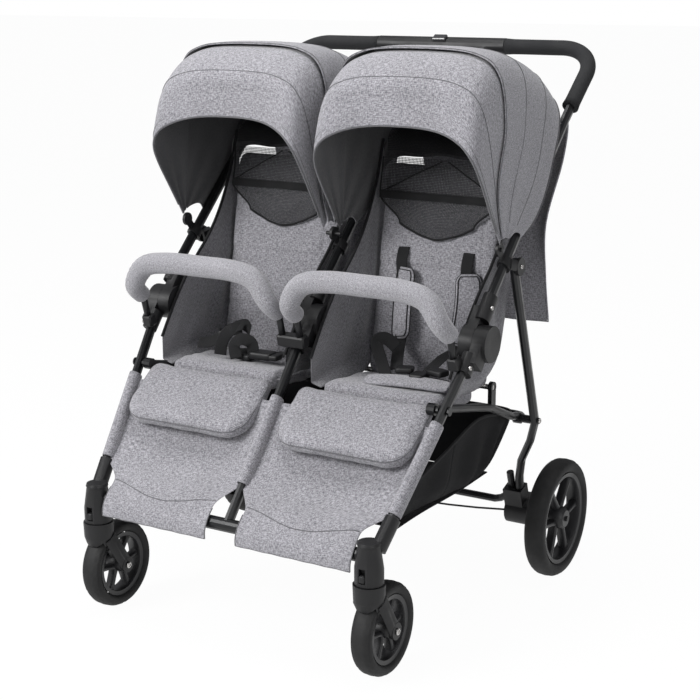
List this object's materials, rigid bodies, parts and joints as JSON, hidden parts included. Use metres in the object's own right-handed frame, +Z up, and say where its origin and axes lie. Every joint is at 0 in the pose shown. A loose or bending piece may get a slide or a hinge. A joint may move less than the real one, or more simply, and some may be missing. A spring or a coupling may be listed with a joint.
{
  "type": "side-by-side double stroller",
  "caption": "Folding side-by-side stroller with two padded seats, hoods, bumper bars, swivel casters and a basket.",
  "frame": {"origin": "on the ground, under the middle of the stroller's bounding box", "axes": "+X to the right seat, -Y towards the front, +Z up"},
  "size_m": [0.779, 0.8479, 1.0482],
  "materials": {
    "graphite_tube": "satin",
    "black_plastic": "matte",
    "rim_plastic": "satin",
    "tyre_rubber": "matte",
    "grip_foam": "matte",
    "grey_fabric": "matte",
    "black_net": "matte",
    "black_webbing": "matte",
    "steel_rod": "satin"
  },
  "bodies": {
    "front_frame": {"front_leg_left": "graphite_tube", "front_leg_centre": "graphite_tube", "front_leg_right": "graphite_tube", "front_cross_tube": "graphite_tube", "fold_casting_lower_left": "black_plastic", "fold_casting_lower_centre": "black_plastic", "fold_casting_lower_right": "black_plastic", "caster_housing_left": "black_plastic", "caster_housing_right": "black_plastic", "leg_panel": "grey_fabric"},
    "upper_frame": {"handle_tube_left": "graphite_tube", "handle_tube_right": "graphite_tube", "centre_upper_tube": "graphite_tube", "grip_left": "grip_foam", "grip_right": "grip_foam", "handle_yoke": "black_plastic", "fold_casting_upper_left": "black_plastic", "fold_casting_upper_centre": "black_plastic", "fold_casting_upper_right": "black_plastic", "side_hub_left": "black_plastic", "side_hub_right": "black_plastic", "canopy_clamp_centre": "black_plastic", "canopy_rear_left": "grey_fabric", "canopy_rear_right": "grey_fabric"},
    "button": {"fold_button": "black_plastic"},
    "seat_base": {"seat_frame": "graphite_tube", "seat_pan_left": "grey_fabric", "seat_pan_right": "grey_fabric", "basket": "black_net"},
    "hinge_rod": {"seat_hinge_rod": "steel_rod"},
    "rear_frame": {"rear_leg_left": "graphite_tube", "rear_leg_right": "graphite_tube", "rear_cross_tube": "graphite_tube", "brake_housing_left": "black_plastic", "brake_housing_right": "black_plastic", "brake_cable": "black_webbing"},
    "pedal": {"brake_pedal": "black_plastic"},
    "caster_left": {"caster_fork_left": "black_plastic"},
    "front_wheel_left": {"front_rim_left": "rim_plastic", "front_tyre_left": "tyre_rubber"},
    "rear_wheel_left": {"rear_rim_left": "rim_plastic", "rear_tyre_left": "tyre_rubber"},
    "lock_left": {"swivel_lock_left": "black_plastic"},
    "back_left": {"seat_back_left": "grey_fabric", "harness_left": "black_webbing"},
    "calf_left": {"calf_rest_left": "grey_fabric"},
    "bumper_bar_left": {"bumper_left": "grey_fabric"},
    "canopy_hood_left": {"canopy_front_left": "grey_fabric"},
    "caster_right": {"caster_fork_right": "black_plastic"},
    "front_wheel_right": {"front_rim_right": "rim_plastic", "front_tyre_right": "tyre_rubber"},
    "rear_wheel_right": {"rear_rim_right": "rim_plastic", "rear_tyre_right": "tyre_rubber"},
    "lock_right": {"swivel_lock_right": "black_plastic"},
    "back_right": {"seat_back_right": "grey_fabric", "harness_right": "black_webbing"},
    "calf_right": {"calf_rest_right": "grey_fabric"},
    "bumper_bar_right": {"bumper_right": "grey_fabric"},
    "canopy_hood_right": {"canopy_front_right": "grey_fabric"}
  },
  "joints": [
    {"name": "fold", "type": "hinge", "parent": "front_frame", "child": "upper_frame", "pos_m": [0, -0.0933, 0.53997], "axis": [1, 0, 0], "range_deg": [-120, 0], "deforming": ["canopy_rear_left", "canopy_rear_right", "basket", "harness_left", "harness_right", "seat_pan_left", "seat_pan_right"]},
    {"name": "rear_link", "type": "hinge", "parent": "upper_frame", "child": "rear_frame", "pos_m": [0, 0.04294, 0.6551], "axis": [1, 0, 0], "range_deg": [0, 71]},
    {"name": "seat_link", "type": "hinge", "parent": "front_frame", "child": "seat_base", "pos_m": [0, -0.20059, 0.44052], "axis": [1, 0, 0], "range_deg": [-81, 0]},
    {"name": "seat_back_link", "type": "hinge", "parent": "seat_base", "child": "hinge_rod", "pos_m": [0, 0.034, 0.424], "axis": [1, 0, 0], "range_deg": [0, 41]},
    {"name": "fold_button_slide", "type": "slide", "parent": "upper_frame", "child": "button", "axis": [0, 0.5476, -0.8368], "range_m": [0, 0.003], "stiffness_N_per_m": 400},
    {"name": "swivel_left", "type": "hinge", "parent": "front_frame", "child": "caster_left", "pos_m": [-0.293, -0.387, 0.18], "axis": [0, 0, 1], "continuous": true},
    {"name": "front_spin_left", "type": "hinge", "parent": "caster_left", "child": "front_wheel_left", "pos_m": [-0.293, -0.341, 0.083], "axis": [1, 0, 0], "continuous": true},
    {"name": "rear_spin_left", "type": "hinge", "parent": "rear_frame", "child": "rear_wheel_left", "pos_m": [-0.365, 0.227, 0.118], "axis": [1, 0, 0], "continuous": true},
    {"name": "swivel_lock_slide_left", "type": "slide", "parent": "front_frame", "child": "lock_left", "axis": [0, 0, 1], "range_m": [0, 0.01]},
    {"name": "recline_left", "type": "hinge", "parent": "hinge_rod", "child": "back_left", "pos_m": [-0.1725, 0.034, 0.424], "axis": [1, 0, 0], "range_deg": [-26, 0], "deforming": ["harness_left", "canopy_rear_left"]},
    {"name": "calf_left_hinge", "type": "hinge", "parent": "seat_base", "child": "calf_left", "pos_m": [-0.169, -0.1735, 0.436], "axis": [1, 0, 0], "range_deg": [-30, 0]},
    {"name": "bumper_pull_left", "type": "slide", "parent": "front_frame", "child": "bumper_bar_left", "axis": [0, -0.2756, 0.9613], "range_m": [0, 0.05]},
    {"name": "canopy_left", "type": "hinge", "parent": "upper_frame", "child": "canopy_hood_left", "pos_m": [-0.1828, -0.0211, 0.6951], "axis": [1, 0, 0], "range_deg": [-38, 0]},
    {"name": "swivel_right", "type": "hinge", "parent": "front_frame", "child": "caster_right", "pos_m": [0.293, -0.387, 0.18], "axis": [0, 0, 1], "continuous": true},
    {"name": "front_spin_right", "type": "hinge", "parent": "caster_right", "child": "front_wheel_right", "pos_m": [0.293, -0.341, 0.083], "axis": [1, 0, 0], "continuous": true},
    {"name": "rear_spin_right", "type": "hinge", "parent": "rear_frame", "child": "rear_wheel_right", "pos_m": [0.365, 0.227, 0.118], "axis": [1, 0, 0], "continuous": true},
    {"name": "swivel_lock_slide_right", "type": "slide", "parent": "front_frame", "child": "lock_right", "axis": [0, 0, 1], "range_m": [0, 0.01]},
    {"name": "recline_right", "type": "hinge", "parent": "hinge_rod", "child": "back_right", "pos_m": [0.1725, 0.034, 0.424], "axis": [1, 0, 0], "range_deg": [-26, 0], "deforming": ["harness_right", "canopy_rear_right"]},
    {"name": "calf_right_hinge", "type": "hinge", "parent": "seat_base", "child": "calf_right", "pos_m": [0.169, -0.1735, 0.436], "axis": [1, 0, 0], "range_deg": [-30, 0]},
    {"name": "bumper_pull_right", "type": "slide", "parent": "front_frame", "child": "bumper_bar_right", "axis": [0, -0.2756, 0.9613], "range_m": [0, 0.05]},
    {"name": "canopy_right", "type": "hinge", "parent": "upper_frame", "child": "canopy_hood_right", "pos_m": [0.1828, -0.0211, 0.6951], "axis": [1, 0, 0], "range_deg": [-38, 0]},
    {"name": "brake_pedal_hinge", "type": "hinge", "parent": "rear_frame", "child": "pedal", "pos_m": [0.29, 0.261, 0.122], "axis": [1, 0, 0], "range_deg": [-16, 0]}
  ],
  "couplings": [
    {"joint": "rear_link", "follows": "fold", "ratio": -0.588},
    {"joint": "seat_link", "follows": "fold", "ratio": 0.6725},
    {"joint": "seat_back_link", "follows": "fold", "ratio": -0.333}
  ]
}
